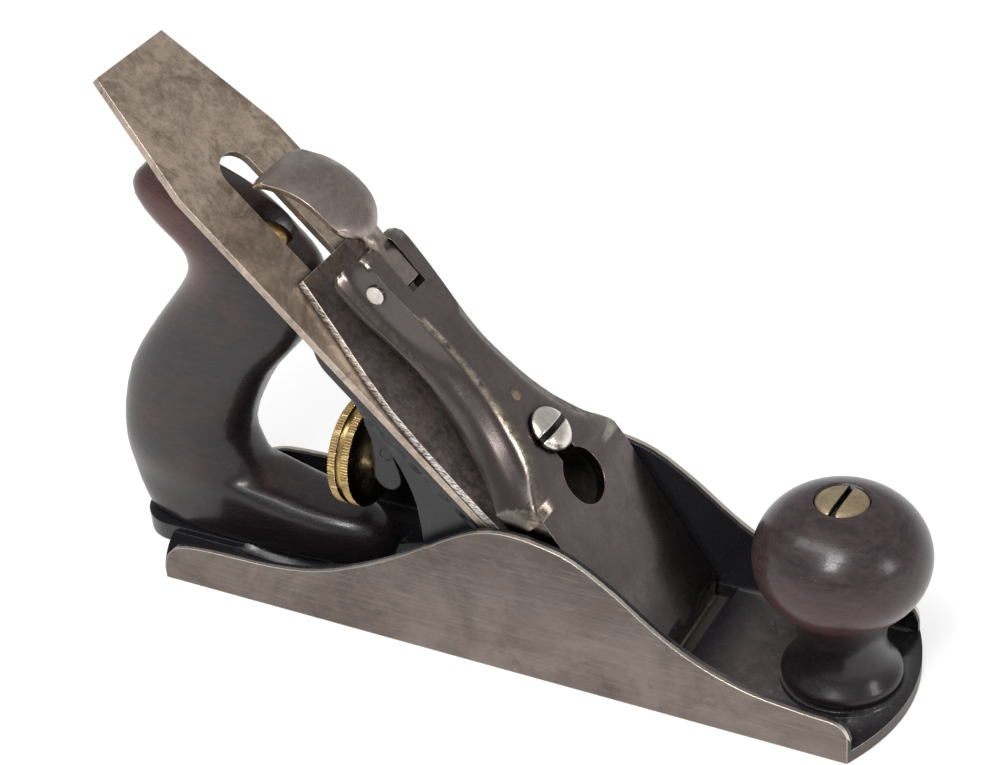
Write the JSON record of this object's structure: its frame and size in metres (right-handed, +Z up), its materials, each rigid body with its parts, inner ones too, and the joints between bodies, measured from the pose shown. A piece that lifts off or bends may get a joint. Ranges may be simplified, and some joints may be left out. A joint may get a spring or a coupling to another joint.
{
  "type": "smoothing_plane",
  "caption": "Iron smoothing plane with a curved-side casting, knurled brass adjusting nut, lever cap with cam, and a dark rosewood knob and tote",
  "frame": {"origin": "on the sole, midway between toe and heel", "axes": "+X to the toe, +Y to the far side as the toe points right, +Z up from the sole"},
  "size_m": [0.2323, 0.052, 0.1464],
  "materials": {
    "casting": "ground sides, black japanned inside",
    "steel": "aged, mottled",
    "cap_steel": "dull plated and worn",
    "bright": "bright, lightly scratched",
    "brass": "aged",
    "rosewood": "old gloss varnish"
  },
  "bodies": {
    "body": {"body_casting": "casting", "frog_screws": "steel", "frog_washers": "casting", "tote": "rosewood", "tote_rod": "steel", "tote_nut": "brass", "knob": "rosewood", "knob_rod": "steel", "knob_nut": "brass"},
    "frog_body": {"frog": "casting", "adjusting_stud": "steel", "yoke_pin": "bright", "lever_cap_screw": "bright"},
    "nut_body": {"adjusting_nut": "brass"},
    "yoke_body": {"yoke_lever": "steel"},
    "iron_body": {"cutting_iron": "steel", "cap_iron": "steel", "cap_iron_screw": "steel"},
    "cap_body": {"lever_cap": "cap_steel", "cam_pin": "bright", "cap_spring": "steel", "spring_rivet": "bright"},
    "cam_body": {"cam_lever": "cap_steel"}
  },
  "joints": [
    {"name": "frog_set", "type": "slide", "parent": "body", "child": "frog_body", "axis": [1, 0, 0], "range_m": [0, 0.001]},
    {"name": "nut_spin", "type": "hinge", "parent": "frog_body", "child": "nut_body", "pos_m": [-0.0425, 0, 0.0389], "axis": [1, 0, 0], "range_deg": [-201.5, 51]},
    {"name": "yoke_tilt", "type": "hinge", "parent": "frog_body", "child": "yoke_body", "pos_m": [-0.03118, 0, 0.049], "axis": [0, 1, 0], "range_deg": [-3.5, 0.95]},
    {"name": "iron_feed", "type": "slide", "parent": "frog_body", "child": "iron_body", "axis": [0.7071, 0, -0.7071], "range_m": [-0.0012, 0.0003]},
    {"name": "cap_slide", "type": "slide", "parent": "frog_body", "child": "cap_body", "axis": [-0.7071, 0, 0.7071], "range_m": [0, 0.0145]},
    {"name": "cam_turn", "type": "hinge", "parent": "cap_body", "child": "cam_body", "pos_m": [-0.02998, 0, 0.09603], "axis": [0, 1, 0], "range_deg": [0, 100]}
  ],
  "couplings": [
    {"joint": "nut_spin", "follows": "iron_feed", "rad_per_m": 2924},
    {"joint": "yoke_tilt", "follows": "iron_feed", "rad_per_m": 48.83}
  ]
}
